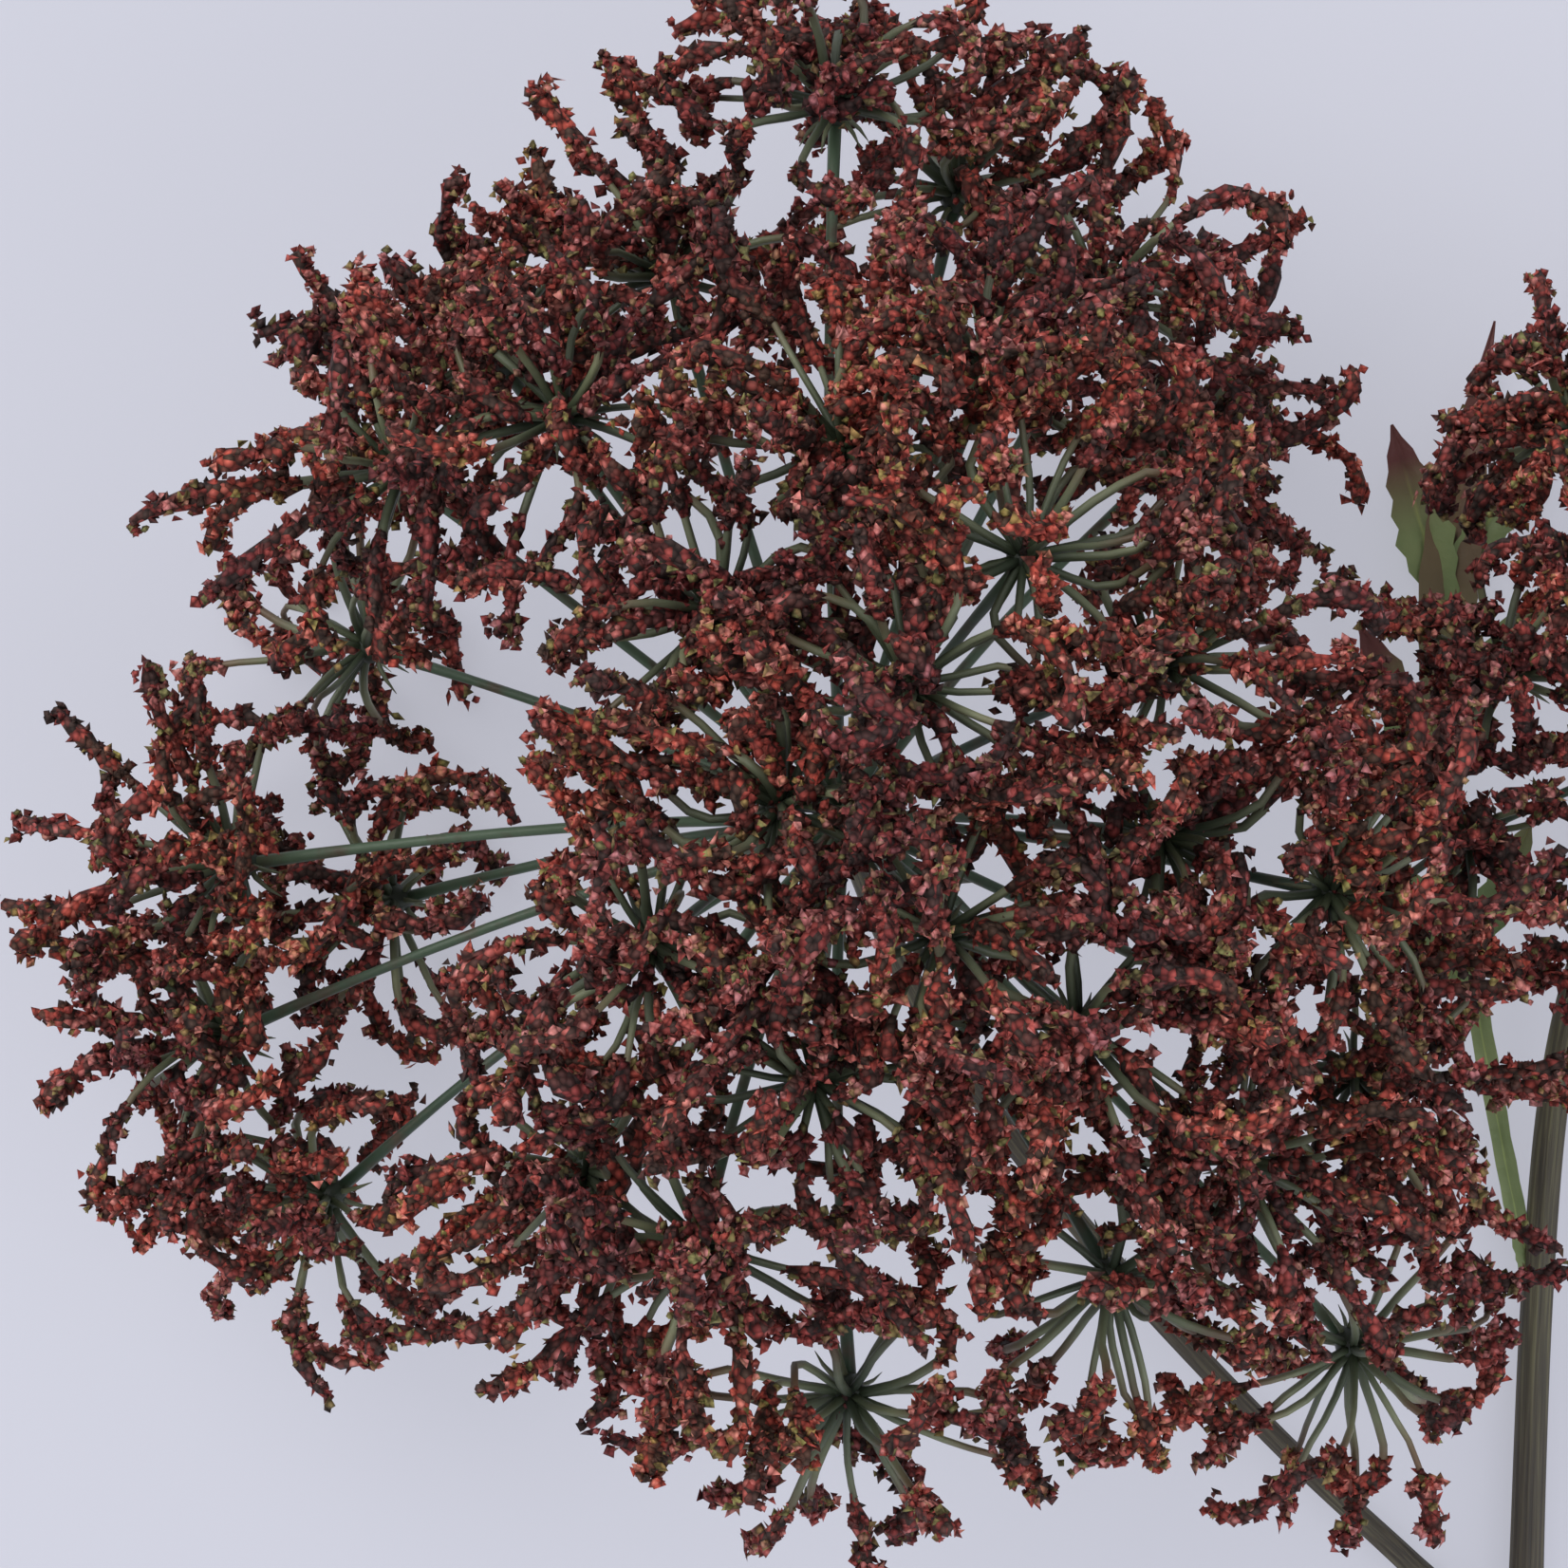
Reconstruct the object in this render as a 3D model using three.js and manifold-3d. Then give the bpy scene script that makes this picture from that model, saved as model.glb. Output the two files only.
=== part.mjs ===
// A dried wild carrot: one cut stem with a side branch, each ending in a flower head gone to seed.
// It lies on a table. Millimetres, +Z up, the heads towards +Y. The origin is on the table, at the
// middle of the plant's outline.
import * as THREE from 'three';
import { mergeVertices } from 'three/addons/utils/BufferGeometryUtils.js';
import Module from 'manifold-3d';

const wasm = await Module();
wasm.setup();

// The plant is laid out with its stem on x = 0, so this is the middle of its outline.
const MIDDLE = { x: -37, y: 156.3 };

// Stem and side branch: centre line points with the radius at each. The first length lies flat.
const STEM_SIDES = 8;
const STEM_FLAT = Math.cos(Math.PI / STEM_SIDES);
const STEM_LINE = [
  { at: [0, -24, 1.75 * STEM_FLAT], radius: 1.75 },
  { at: [0, 14, 1.75 * STEM_FLAT], radius: 1.75 },
  { at: [0.9, 60, 1.9], radius: 1.7 },
  { at: [0.6, 110, 2.1], radius: 1.65 },
  { at: [-0.5, 155, 1.9], radius: 1.6 },
  { at: [0, 182, 1.9], radius: 1.65 },
  { at: [0, 189, 2.2], radius: 2.2 },
  { at: [0.1, 196, 1.9], radius: 1.55 },
  { at: [1, 222, 2.4], radius: 1.4 },
  { at: [2.4, 242, 5], radius: 1.35 },
  { at: [5.3, 255, 8.6], radius: 1.3 },
  { at: [10.4, 264.5, 13.8], radius: 1.3 },
  { at: [15.4, 270.9, 18.9], radius: 1.35 },
];
const BRANCH_LINE = [
  { at: [0, 188, 2.2], radius: 1.5 },
  { at: [-4, 194, 2.2], radius: 1.3 },
  { at: [-10.5, 200.2, 2.4], radius: 1.1 },
  { at: [-22, 211, 3.4], radius: 1.05 },
  { at: [-36, 226, 5.6], radius: 1.05 },
  { at: [-47, 240, 9.6], radius: 1.05 },
  { at: [-54, 251.5, 15.6], radius: 1.1 },
  { at: [-58.4, 262.1, 26.2], radius: 1.25 },
];

// Heads: where the rays meet, and the way that the dome of the head faces.
const MAIN_CENTRE = new THREE.Vector3(-59, 264, 29);
const MAIN_FACING = new THREE.Vector3(-0.27, 0.32, 0.91).normalize();
const SECOND_CENTRE = new THREE.Vector3(17, 272.8, 21.5);
const SECOND_FACING = new THREE.Vector3(0.42, 0.3, 0.86).normalize();
const KNOT_RADIUS = 2.7;
const KNOT_SIDES = 6;

// Rays of the main head: compass angle from +X, angle from straight up, and length.
const MAIN_RAYS = [
  [142, 68, 48],
  [160, 109, 45],
  [184, 93, 50],
  [190, 110, 41],
  [216, 95, 53],
  [233, 51, 43],
  [270, 62, 50],
  [300, 57, 48],
  [314, 84, 59],
  [334, 67, 48],
  [48, 108, 42],
  [64, 85, 47],
  [80, 91, 52],
  [91, 81, 58],
  [108, 75, 47],
  [125, 56, 46],
  [57, 31, 46],
  [358, 33, 43],
  [318, 31, 44],
  [262, 26, 44],
  [211, 23, 44],
  [123, 27, 41],
  [91, 40, 44],
  [165, 7, 44],
  [127, 84, 47],
  [199, 95, 54],
  [68, 14, 46],
  [309, 13, 46],
  [319, 55, 48],
  [352, 47, 50],
  [250, 44, 48],
  [73, 51, 46],
  [27, 37, 44],
];

// Rays of the second head, in the same way.
const SECOND_RAYS = [
  [172, 59, 27],
  [201, 70, 29],
  [248, 58, 29],
  [291, 75, 28],
  [326, 94, 29],
  [10, 115, 29],
  [74, 112, 29],
  [124, 84, 28],
  [84, 58, 29],
  [132, 24, 28],
  [294, 22, 29],
  [346, 56, 29],
  [34, 72, 29],
  [36, 30, 28],
];
const RAY_SIDES = 3;
const RAY_RADIUS = 0.6;

// Umbellets: the small flower clusters at the ray ends. Each thin stalk ends in a crusty club.
const HUB_RADIUS = 1.5;
const STALK_PLACES = 24;
const STALK_SIDES = 3;
const STALK_RADIUS = 0.5;
const CLUB_RADIUS = 1.3;
const CLUB_STEP = 10;
const STALK_STEPS = 20;
const RING_STEPS = [0, 10, 12, 17, 20];
const RING_RADII = [0.35, 0.5, 1.3, 1.3, 0];
const WIDEST_TILT = THREE.MathUtils.degToRad(104);
const GOLDEN_ANGLE = Math.PI * (3 - Math.sqrt(5));
const MAIN_REACH = 19.5;
const MAIN_EVERY = 3;
const SECOND_REACH = 15;
const SECOND_EVERY = 4;
const HALF_GAP = 0.16;
const TABLE_BAND = 1;
const SOFT_ROOM = 4;

// Bracts under each head, and the leaf on the stem.
const BRACT_RADIUS = 0.75;
const LEAF_HALF_THICK = 0.5;
const LEAF_RIB = [[-1.1, 231, 3.4], [-4.6, 250, 3.6], [-7, 268, 3.4], [-6.4, 287, 3], [-2.6, 307, 2.6]];
const LEAF_RIB_WIDTHS = [0.9, 1, 1.5, 2.6, 0];
const LEAF_LOBES = [
  { from: [-4.6, 248, 3.5], to: [-12.5, 262, 3.9], width: 1.9 },
  { from: [-4.9, 252, 3.6], to: [0.6, 264, 3], width: 1.8 },
  { from: [-7, 266, 3.4], to: [-14.5, 281, 3.2], width: 2.2 },
  { from: [-6.9, 270, 3.4], to: [1.4, 284, 2.8], width: 2.1 },
  { from: [-6.6, 281, 3.1], to: [-11.6, 298, 3.2], width: 2.5 },
  { from: [-6.3, 285, 3], to: [2.4, 298, 2.8], width: 2.2 },
];

// Repeatable numbers between 0 and 1, so that the plant always grows the same way.
function sequence(seed) {
  let state = (Math.imul(seed + 1, 2654435761) + 97) >>> 0;
  return () => {
    state = (Math.imul(state, 1664525) + 1013904223) >>> 0;
    return state / 4294967296;
  };
}

// Three numbers as a point or a direction.
function vector(values) {
  return new THREE.Vector3(values[0], values[1], values[2]);
}

// Two directions square to the given one.
function across(axis) {
  const helper = Math.abs(axis.x) < 0.8 ? new THREE.Vector3(1, 0, 0) : new THREE.Vector3(0, 1, 0);
  const side = new THREE.Vector3().crossVectors(axis, helper).normalize();
  const other = new THREE.Vector3().crossVectors(axis, side);
  return [side, other];
}

// The direction at an angle from an axis, turned round that axis.
function leaning(axis, tilt, turn) {
  const [side, other] = across(axis);
  return axis.clone().multiplyScalar(Math.cos(tilt))
    .addScaledVector(side, Math.sin(tilt) * Math.cos(turn))
    .addScaledVector(other, Math.sin(tilt) * Math.sin(turn));
}

// A closed tube through the points. The first end is flat, and so is the last unless its radius is 0.
// The rings can turn from one to the next, and a tube with a half thickness is flat in the level plane.
function tube(points, radii, sides, { start = 0, twist = 0, halfThick = null } = {}) {
  const rings = points.length - 1;
  const geometry = new THREE.CylinderGeometry(Math.sign(radii[rings]), 1, 1, sides, rings);
  const frames = tubeFrames(points, halfThick !== null);
  const position = geometry.attributes.position;
  for (let i = 0; i < position.count; i++) {
    const ring = Math.round((position.getY(i) + 0.5) * rings);
    const x = position.getX(i);
    const z = position.getZ(i);
    const reach = Math.hypot(x, z) > 1e-6 ? radii[ring] : 0;
    const angle = Math.atan2(x, z) + start + twist * ring;
    const depth = halfThick !== null && reach > 0 ? halfThick * Math.SQRT2 : reach;
    const { side, up } = frames[ring];
    const place = points[ring].clone()
      .addScaledVector(side, Math.sin(angle) * reach)
      .addScaledVector(up, Math.cos(angle) * depth);
    position.setXYZ(i, place.x, place.y, place.z);
  }
  return geometry;
}

// The side and up directions of each ring of a tube.
function tubeFrames(points, level) {
  const frames = [];
  let side = null;
  for (let i = 0; i < points.length; i++) {
    const before = points[Math.max(0, i - 1)];
    const after = points[Math.min(points.length - 1, i + 1)];
    const along = after.clone().sub(before).normalize();
    if (side === null || level) {
      const helper = Math.abs(along.z) < 0.9 ? new THREE.Vector3(0, 0, 1) : new THREE.Vector3(1, 0, 0);
      side = new THREE.Vector3().crossVectors(along, helper);
    }
    side = side.clone().addScaledVector(along, -side.dot(along)).normalize();
    const up = new THREE.Vector3().crossVectors(side, along);
    frames.push({ side, up });
  }
  return frames;
}

// A closed geometry as a solid that can be joined to others.
function solid(geometry) {
  const bare = geometry.clone();
  bare.deleteAttribute('normal');
  bare.deleteAttribute('uv');
  const merged = mergeVertices(bare, 1e-5);
  return new wasm.Manifold(new wasm.Mesh({
    numProp: 3,
    vertProperties: new Float32Array(merged.attributes.position.array),
    triVerts: new Uint32Array(merged.index.array),
  }));
}

// All the geometries joined into one.
function joined(geometries) {
  let whole = solid(geometries[0]);
  for (const geometry of geometries.slice(1)) {
    whole = whole.add(solid(geometry));
  }
  const mesh = whole.getMesh();
  const result = new THREE.BufferGeometry();
  result.setAttribute('position', new THREE.BufferAttribute(new Float32Array(mesh.vertProperties), 3));
  result.setIndex(new THREE.BufferAttribute(new Uint32Array(mesh.triVerts), 1));
  result.computeVertexNormals();
  return result;
}

function stemMaterial() {
  return new THREE.MeshStandardMaterial({ color: 0x4a4234, roughness: 0.7, metalness: 0 });
}

function rayMaterial() {
  return new THREE.MeshStandardMaterial({ color: 0x4f5f45, roughness: 0.6, metalness: 0 });
}

function umbelletMaterial() {
  return new THREE.MeshStandardMaterial({ color: 0x7a3230, roughness: 0.9, metalness: 0 });
}

function leafMaterial() {
  return new THREE.MeshStandardMaterial({ color: 0x5c6e3c, roughness: 0.75, metalness: 0 });
}

// The points of a ray: it leaves the centre along the facing direction and bends out to its hub.
function rayPoints(centre, facing, towards, length) {
  const bend = towards.clone().addScaledVector(facing, 0.3).normalize();
  const control = centre.clone().addScaledVector(bend, length * 0.45);
  const hub = centre.clone().addScaledVector(towards, length);
  const axis = towards.clone().addScaledVector(facing, 0.25).normalize();
  const end = hub.clone().addScaledVector(axis, -HUB_RADIUS - 2 * HALF_GAP);
  const curve = new THREE.QuadraticBezierCurve3(centre, control, end);
  return { hub, axis, points: curve.getPoints(2) };
}

// Every ray of a head.
function headRays(rows, centre, facing) {
  return rows.map(([compass, tilt, length]) => {
    const a = THREE.MathUtils.degToRad(compass);
    const t = THREE.MathUtils.degToRad(tilt);
    const towards = new THREE.Vector3(Math.sin(t) * Math.cos(a), Math.sin(t) * Math.sin(a), Math.cos(t));
    return rayPoints(centre, facing, towards, length);
  });
}

// The thin solid lengths that no umbellet may touch: stems, rays and leaf lobes.
function obstacles(rays) {
  const found = [];
  for (const line of [STEM_LINE, BRANCH_LINE]) {
    for (let i = 1; i < line.length; i++) {
      const radius = Math.max(line[i - 1].radius, line[i].radius);
      found.push({ from: vector(line[i - 1].at), to: vector(line[i].at), radius });
    }
  }
  for (const ray of rays) {
    for (let i = 1; i < ray.points.length; i++) {
      found.push({ from: ray.points[i - 1], to: ray.points[i], radius: RAY_RADIUS });
    }
  }
  for (let i = 1; i < LEAF_RIB.length; i++) {
    found.push({ from: vector(LEAF_RIB[i - 1]), to: vector(LEAF_RIB[i]), radius: 2.4 });
  }
  for (const lobe of LEAF_LOBES) {
    found.push({ from: vector(lobe.from), to: vector(lobe.to), radius: lobe.width });
  }
  return found;
}

// Each umbellet keeps to its own side of the plane half way to every near umbellet.
function umbellets(rays, reachOf, things) {
  return rays.map((ray, index) => {
    const reach = reachOf(index);
    const walls = [];
    for (const other of rays) {
      const apart = other.hub.distanceTo(ray.hub);
      if (other !== ray && apart < 2 * MAIN_REACH + 4) {
        const normal = other.hub.clone().sub(ray.hub).divideScalar(apart);
        walls.push({ normal, limit: ray.hub.dot(normal) + apart / 2 - CLUB_RADIUS - HALF_GAP });
      }
    }
    const near = things.filter((thing) => nearestOn(thing, ray.hub).distanceTo(ray.hub) < reach + 6);
    return { index, hub: ray.hub, axis: ray.axis, reach, walls, near };
  });
}

// The point of a solid length that is nearest to the given one.
function nearestOn(thing, point) {
  const line = new THREE.Line3(thing.from, thing.to);
  return line.closestPointToPoint(point, true, new THREE.Vector3());
}

// Bends a heading away from the walls it runs towards.
function steer(heading, point, walls) {
  for (const wall of walls) {
    const room = wall.limit - point.dot(wall.normal);
    const towards = heading.dot(wall.normal);
    if (room < SOFT_ROOM && towards > 0) {
      const share = 1 - Math.max(0, room) / SOFT_ROOM;
      heading.addScaledVector(wall.normal, -towards * share);
    }
  }
  heading.normalize();
}

// Moves a point back inside its walls, off the stems, and onto the table where it would go below.
function keepClear(point, radius, umbellet) {
  for (let round = 0; round < 3; round++) {
    for (const thing of umbellet.near) {
      const nearest = nearestOn(thing, point);
      const apart = point.distanceTo(nearest);
      const least = thing.radius + radius + 2 * HALF_GAP;
      if (apart < least) {
        point.sub(nearest).multiplyScalar(least / Math.max(apart, 1e-6)).add(nearest);
      }
    }
    for (const wall of umbellet.walls) {
      const over = point.dot(wall.normal) - wall.limit;
      if (over > 0) {
        point.addScaledVector(wall.normal, -over);
      }
    }
    point.z = Math.max(point.z, radius * 0.8);
  }
}

// The centre line of one flower stalk. It leaves the hub in a straight line and curls as it goes.
function stalkPath(umbellet, place) {
  const random = sequence(umbellet.index * 64 + place);
  const share = (place + 0.5) / STALK_PLACES;
  const tilt = Math.acos(1 - share * (1 - Math.cos(WIDEST_TILT))) + 0.24 * (random() - 0.5);
  const turn = place * GOLDEN_ANGLE + umbellet.index + 0.5 * (random() - 0.5);
  const length = umbellet.reach * (0.84 + 0.32 * random());
  const curl = -0.7 + 3 * random();
  const lean = 2.2 * (random() - 0.5);
  const heading = leaning(umbellet.axis, tilt, turn);
  const droop = new THREE.Vector3().crossVectors(umbellet.axis, heading).normalize();
  droop.applyAxisAngle(heading, lean);
  const point = umbellet.hub.clone();
  const path = [point.clone()];
  for (let step = 1; step <= STALK_STEPS; step++) {
    heading.applyAxisAngle(droop, (curl * (2 * step - 1)) / (STALK_STEPS * STALK_STEPS));
    steer(heading, point, umbellet.walls);
    point.addScaledVector(heading, length / STALK_STEPS);
    keepClear(point, step < CLUB_STEP ? STALK_RADIUS : CLUB_RADIUS, umbellet);
    path.push(point.clone());
  }
  return path;
}

// One flower stalk with its crusty club, flattened where it lies on the table.
function stalkGeometry(umbellet, place) {
  const path = stalkPath(umbellet, place);
  const points = RING_STEPS.map((step) => path[step]);
  const geometry = tube(points, RING_RADII, STALK_SIDES, { twist: -Math.PI / STALK_SIDES });
  const position = geometry.attributes.position;
  for (let i = 0; i < position.count; i++) {
    if (position.getZ(i) < TABLE_BAND) {
      position.setZ(i, 0);
    }
  }
  return geometry;
}

// An umbellet: its hub and every third or fourth of its stalks, spread evenly over it.
function umbelletMesh(umbellet, every) {
  const hub = new THREE.OctahedronGeometry(HUB_RADIUS, 0);
  hub.translate(umbellet.hub.x, umbellet.hub.y, umbellet.hub.z);
  const pieces = [hub];
  for (let place = 0; place < STALK_PLACES; place += every) {
    pieces.push(stalkGeometry(umbellet, place));
  }
  const mesh = new THREE.Mesh(joined(pieces), umbelletMaterial());
  mesh.name = `umbellet_${String(umbellet.index + 1).padStart(2, '0')}`;
  mesh.geometry.translate(-umbellet.hub.x, -umbellet.hub.y, -umbellet.hub.z);
  mesh.position.copy(umbellet.hub);
  return mesh;
}

// The knot that the rays grow from, just clear of the end of its stem.
function knotGeometry(line, centre, facing) {
  const [before, end] = line.slice(-2).map((row) => vector(row.at));
  const along = end.clone().sub(before).normalize();
  const foot = end.clone().addScaledVector(along, 2.5 * HALF_GAP);
  const points = [foot, foot.clone().lerp(centre, 0.5), centre, centre.clone().addScaledVector(facing, 2)];
  return tube(points, [1.3, 0.9 * KNOT_RADIUS, KNOT_RADIUS, 0], KNOT_SIDES);
}

// The forked bracts that hang back under a head.
function bractGeometries(centre, facing, count, length) {
  const pieces = [];
  for (let i = 0; i < count; i++) {
    const turn = (2 * Math.PI * i) / count + 0.3;
    const out = leaning(facing, 1.9, turn);
    const back = leaning(facing, 2.35, turn);
    const fork = centre.clone().addScaledVector(out, length * 0.45);
    for (const spread of [-0.45, 0, 0.45]) {
      const reach = length * (spread === 0 ? 0.55 : 0.4);
      const tipWay = back.clone().applyAxisAngle(facing, spread * 1.3);
      const tip = fork.clone().addScaledVector(tipWay, reach);
      const middle = fork.clone().lerp(tip, 0.5).addScaledVector(out, 0.4);
      const root = spread === 0 ? centre.clone() : fork.clone().addScaledVector(out, -1);
      pieces.push(tube([root, fork, middle, tip], [0.75, BRACT_RADIUS, 0.6, 0], 3));
    }
  }
  return pieces;
}

// A head's knot, rays and bracts in one piece.
function raysMesh(name, rays, line, centre, facing, bracts, bractLength) {
  const radii = [0.55, 0.9, 0.9].map((share) => share * RAY_RADIUS);
  const pieces = [knotGeometry(line, centre, facing)];
  for (const ray of rays) {
    pieces.push(tube(ray.points, radii, RAY_SIDES));
  }
  pieces.push(...bractGeometries(centre, facing, bracts, bractLength));
  const mesh = new THREE.Mesh(joined(pieces), rayMaterial());
  mesh.name = name;
  return mesh;
}

// The main stem and its side branch, grown together at the fork.
function stemMesh() {
  const pieces = [STEM_LINE, BRANCH_LINE].map((line) => {
    const points = line.map((row) => vector(row.at));
    const radii = line.map((row) => row.radius);
    return tube(points, radii, STEM_SIDES, { start: Math.PI / STEM_SIDES });
  });
  const mesh = new THREE.Mesh(joined(pieces), stemMaterial());
  mesh.name = 'stem';
  return mesh;
}

// A flat leaf lobe, widest a third of the way along.
function lobeGeometry(from, to, width) {
  const points = [0, 0.35, 0.7, 1].map((share) => from.clone().lerp(to, share));
  return tube(points, [width * 0.5, width, width * 0.75, 0].map((w) => w * Math.SQRT2), 4, {
    start: Math.PI / 4,
    halfThick: LEAF_HALF_THICK,
  });
}

// The divided leaf: a stalk that widens into the end lobe, with three pairs of side lobes.
function leafMesh() {
  const rib = LEAF_RIB.map(vector);
  const widths = LEAF_RIB_WIDTHS.map((width) => width * Math.SQRT2);
  const pieces = [tube(rib, widths, 4, { start: Math.PI / 4, halfThick: LEAF_HALF_THICK * 1.2 })];
  for (const lobe of LEAF_LOBES) {
    pieces.push(lobeGeometry(vector(lobe.from), vector(lobe.to), lobe.width));
  }
  const mesh = new THREE.Mesh(joined(pieces), leafMaterial());
  mesh.name = 'leaf';
  return mesh;
}

// The whole plant, with the middle of its outline moved to the origin.
function wildCarrot() {
  const group = new THREE.Group();
  const main = headRays(MAIN_RAYS, MAIN_CENTRE, MAIN_FACING);
  const second = headRays(SECOND_RAYS, SECOND_CENTRE, SECOND_FACING);
  const rays = [...main, ...second];
  const reachOf = (index) => (index < main.length ? MAIN_REACH : SECOND_REACH);
  group.add(stemMesh());
  group.add(raysMesh('rays_main', main, BRANCH_LINE, MAIN_CENTRE, MAIN_FACING, 5, 15));
  group.add(raysMesh('rays_second', second, STEM_LINE, SECOND_CENTRE, SECOND_FACING, 4, 10));
  group.add(leafMesh());
  for (const umbellet of umbellets(rays, reachOf, obstacles(rays))) {
    group.add(umbelletMesh(umbellet, umbellet.index < main.length ? MAIN_EVERY : SECOND_EVERY));
  }
  group.position.set(-MIDDLE.x, -MIDDLE.y, 0);
  return group;
}

const group = wildCarrot();
export default group;
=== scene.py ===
# Looks of a dried wild carrot that lies on a table. The frame gives the plant's solids. The finer pieces
# made here stand in their places: they grow by the same rule, with every stalk in place, and curl a little
# more. Lengths are in millimetres in the plant's own layout, with the stem on x = 0, and become metres in
# the frame when a piece is made.
import math

import bpy
import numpy as np
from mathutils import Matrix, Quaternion, Vector
from mathutils.geometry import intersect_point_line


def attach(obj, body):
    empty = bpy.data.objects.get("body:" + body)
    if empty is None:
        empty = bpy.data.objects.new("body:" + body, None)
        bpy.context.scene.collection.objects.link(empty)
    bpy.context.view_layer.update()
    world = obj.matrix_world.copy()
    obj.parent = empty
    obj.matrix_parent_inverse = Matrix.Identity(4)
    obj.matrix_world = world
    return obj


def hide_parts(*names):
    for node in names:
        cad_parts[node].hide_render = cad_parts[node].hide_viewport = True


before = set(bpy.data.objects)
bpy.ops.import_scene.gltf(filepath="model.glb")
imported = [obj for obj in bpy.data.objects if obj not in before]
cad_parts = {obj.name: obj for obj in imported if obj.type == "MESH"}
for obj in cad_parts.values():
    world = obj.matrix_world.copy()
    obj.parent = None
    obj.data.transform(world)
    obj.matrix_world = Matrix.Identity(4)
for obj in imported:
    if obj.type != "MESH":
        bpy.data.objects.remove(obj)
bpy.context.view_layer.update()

# The middle of the plant's outline, which is the frame's origin.
MIDDLE = (-37.0, 156.3, 0.0)

# Stem and side branch: x, y, z and radius at each point of the centre line.
STEM_LINE = [
    (0, -24, 1.62, 1.75), (0, 14, 1.62, 1.75), (0.9, 60, 1.9, 1.7), (0.6, 110, 2.1, 1.65),
    (-0.5, 155, 1.9, 1.6), (0, 182, 1.9, 1.65), (0, 189, 2.2, 2.1), (0.1, 196, 1.9, 1.55),
    (1, 222, 2.4, 1.4), (2.4, 242, 5, 1.35), (5.3, 255, 8.6, 1.3), (10.4, 264.5, 13.8, 1.3),
    (15.4, 270.9, 18.9, 1.35),
]
BRANCH_LINE = [
    (0, 188, 2.2, 1.5), (-4, 194, 2.2, 1.3), (-10.5, 200.2, 2.4, 1.1), (-22, 211, 3.4, 1.05),
    (-36, 226, 5.6, 1.05), (-47, 240, 9.6, 1.05), (-54, 251.5, 15.6, 1.1), (-58.4, 262.1, 26.2, 1.25),
]

# Heads: where the rays meet, the way the dome faces, and each ray's compass angle, angle from straight
# up and length.
MAIN_CENTRE = Vector((-59, 264, 29))
MAIN_FACING = Vector((-0.27, 0.32, 0.91)).normalized()
SECOND_CENTRE = Vector((17, 272.8, 21.5))
SECOND_FACING = Vector((0.42, 0.3, 0.86)).normalized()
MAIN_RAYS = [
    (142, 68, 48), (160, 109, 45), (184, 93, 50), (190, 110, 41), (216, 95, 53), (233, 51, 43),
    (270, 62, 50), (300, 57, 48), (314, 84, 59), (334, 67, 48), (48, 108, 42), (64, 85, 47),
    (80, 91, 52), (91, 81, 58), (108, 75, 47), (125, 56, 46), (57, 31, 46), (358, 33, 43),
    (318, 31, 44), (262, 26, 44), (211, 23, 44), (123, 27, 41), (91, 40, 44), (165, 7, 44),
    (127, 84, 47), (199, 95, 54), (68, 14, 46), (309, 13, 46), (319, 55, 48), (352, 47, 50),
    (250, 44, 48), (73, 51, 46), (27, 37, 44),
]
SECOND_RAYS = [
    (172, 59, 27), (201, 70, 29), (248, 58, 29), (291, 75, 28), (326, 94, 29), (10, 115, 29),
    (74, 112, 29), (124, 84, 28), (84, 58, 29), (132, 24, 28), (294, 22, 29), (346, 56, 29),
    (34, 72, 29), (36, 30, 28),
]
RAY_RADIUS = 0.6

# Flower stalks, as the solids have them.
HUB_RADIUS = 1.5
STALK_PLACES = 24
STALK_RADIUS = 0.5
CLUB_RADIUS = 1.3
CLUB_STEP = 10
STALK_STEPS = 20
WIDEST_TILT = math.radians(104)
GOLDEN_ANGLE = math.pi * (3 - math.sqrt(5))
MAIN_REACH = 19.5
SECOND_REACH = 15.0
HALF_GAP = 0.16
SOFT_ROOM = 4.0

# What the finer pieces add: short stalks over each hub, and how far umbellets reach into one another. The
# open umbellets have no short stalks and a later crust, as the photo looks right into their hubs.
SHORT_STALKS = 8
SHORT_SHARE = 0.62
STALK_SIDES = 5
INTERLOCK = 0.5
OPEN_UMBELLETS = (1, 6, 7, 8, 16)

# The crust of each stalk: rounded grains and sharper flakes, some of them in tufts that stand out, on a core
# that is tinted dark as painted shade between the grains. The mark is the core's value along a stalk, by
# which the material tells it from the grains.
CRUST_START = 0.31
OPEN_CRUST_START = 0.44
CORE_RINGS = 9
CORE_MARK = 2.0
GRAINS = 44
FLAKES = 36
TUFTS = 5
TUFT_SHARE = 0.4
OLIVE_SHARE = 0.17
PRONG_SHARE = 0.06

# Leaf: midrib points with half widths, and its lobes.
LEAF_RIB = [(-1.1, 231, 3.4), (-4.6, 250, 3.6), (-7, 268, 3.4), (-6.4, 287, 3), (-2.6, 307, 2.6)]
LEAF_RIB_WIDTHS = (0.9, 1.0, 1.5, 2.6, 0.05)
LEAF_FOOT = [(1.0, 221, 2.9, 0.6), (0.5, 225, 3.2, 1.1)]
LEAF_LOBES = [
    ((-4.6, 248, 3.5), (-12.5, 262, 3.9), 1.9), ((-4.9, 252, 3.6), (0.6, 264, 3), 1.8),
    ((-7, 266, 3.4), (-14.5, 281, 3.2), 2.2), ((-6.9, 270, 3.4), (1.4, 284, 2.8), 2.1),
    ((-6.6, 281, 3.1), (-11.6, 298, 3.2), 2.5), ((-6.3, 285, 3), (2.4, 298, 2.8), 2.2),
]

# Camera: straight above the picture's middle, with a field of view of 1652 / 5850.
CAMERA_AT = (-64.0, 267.0, 482.0)
HALF_FIELD = math.atan(1652 / 5850 / 2)


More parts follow.
